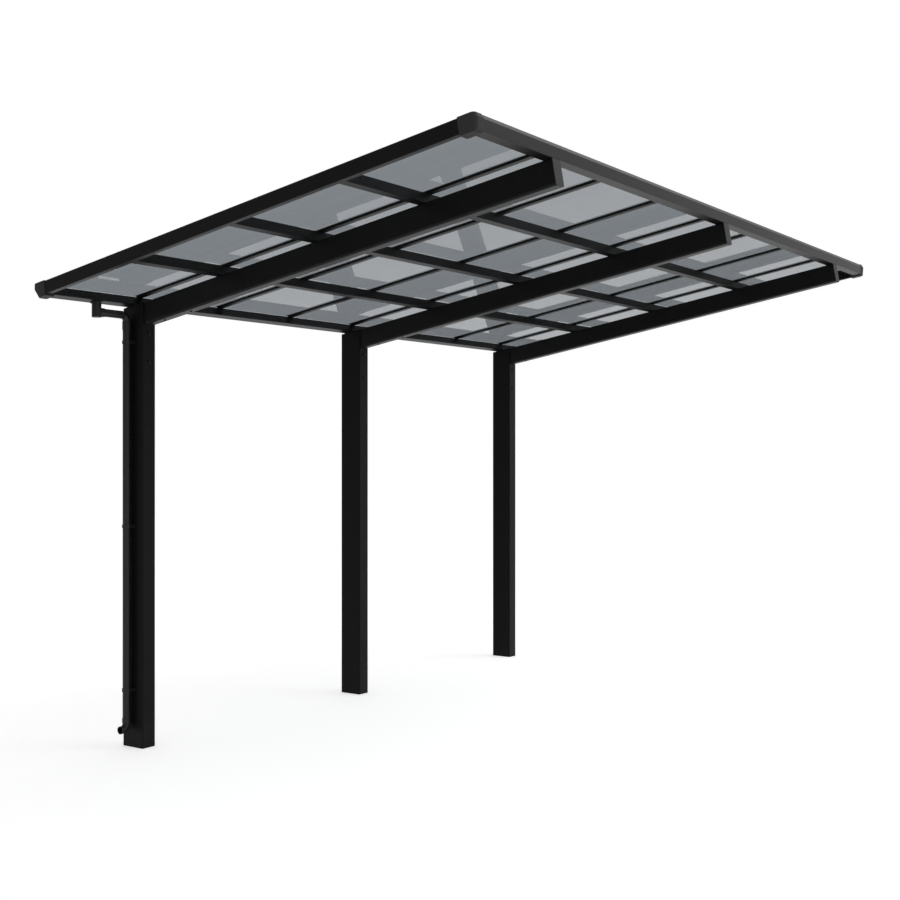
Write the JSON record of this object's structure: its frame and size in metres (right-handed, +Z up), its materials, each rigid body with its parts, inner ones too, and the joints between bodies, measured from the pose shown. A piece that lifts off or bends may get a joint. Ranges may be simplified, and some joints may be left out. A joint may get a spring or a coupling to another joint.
{
  "type": "carport",
  "caption": "Single-slope cantilever carport: box posts along one side carry sloping beams, purlins and a framed roof of smoked sheets with gutter and downpipe.",
  "frame": {"origin": "centre of the middle post's foot, on its flat underside", "axes": "+Z up, +X from the posts towards the open side, +Y along the roof from the end with the downpipe to the other end"},
  "size_m": [2.6955, 4.954, 2.9054],
  "materials": {
    "post": "satin black powder coat on aluminium",
    "frame": "satin black powder coat on aluminium",
    "glazing_bar": "satin black powder coat on aluminium",
    "joint": "black powder coat",
    "moulding": "fine grained black plastic",
    "end_cap": "fine grained black plastic",
    "rainwater": "satin black plastic",
    "sheet": "smoked clear sheet"
  },
  "bodies": {
    "root": {"beam_back": "frame", "beam_cap_back": "end_cap", "beam_cap_front": "end_cap", "beam_cap_middle": "end_cap", "beam_front": "frame", "beam_joint_back": "joint", "beam_joint_front": "joint", "beam_joint_middle": "joint", "beam_middle": "frame", "branch_pipe": "rainwater", "corner_cap_high_back": "moulding", "corner_cap_high_front": "moulding", "corner_cap_low_back": "moulding", "corner_cap_low_front": "moulding", "downpipe": "rainwater", "glazing_bar_1": "glazing_bar", "glazing_bar_2": "glazing_bar", "glazing_bar_3": "glazing_bar", "glazing_bar_4": "glazing_bar", "glazing_bar_5": "glazing_bar", "glazing_bar_6": "glazing_bar", "glazing_bar_7": "glazing_bar", "gutter": "frame", "high_rail": "frame", "pipe_clip_1": "rainwater", "pipe_clip_2": "rainwater", "pipe_clip_3": "rainwater", "pipe_shoe": "rainwater", "pipe_sleeve": "rainwater", "post_back": "post", "post_front": "post", "post_middle": "post", "purlin_1": "frame", "purlin_2": "frame", "purlin_3": "frame", "rain_outlet": "rainwater", "roof_sheet_1": "sheet", "roof_sheet_2": "sheet", "roof_sheet_3": "sheet", "roof_sheet_4": "sheet", "roof_sheet_5": "sheet", "roof_sheet_6": "sheet", "roof_sheet_7": "sheet", "roof_sheet_8": "sheet", "side_rail_back": "frame", "side_rail_front": "frame"}
  },
  "joints": []
}
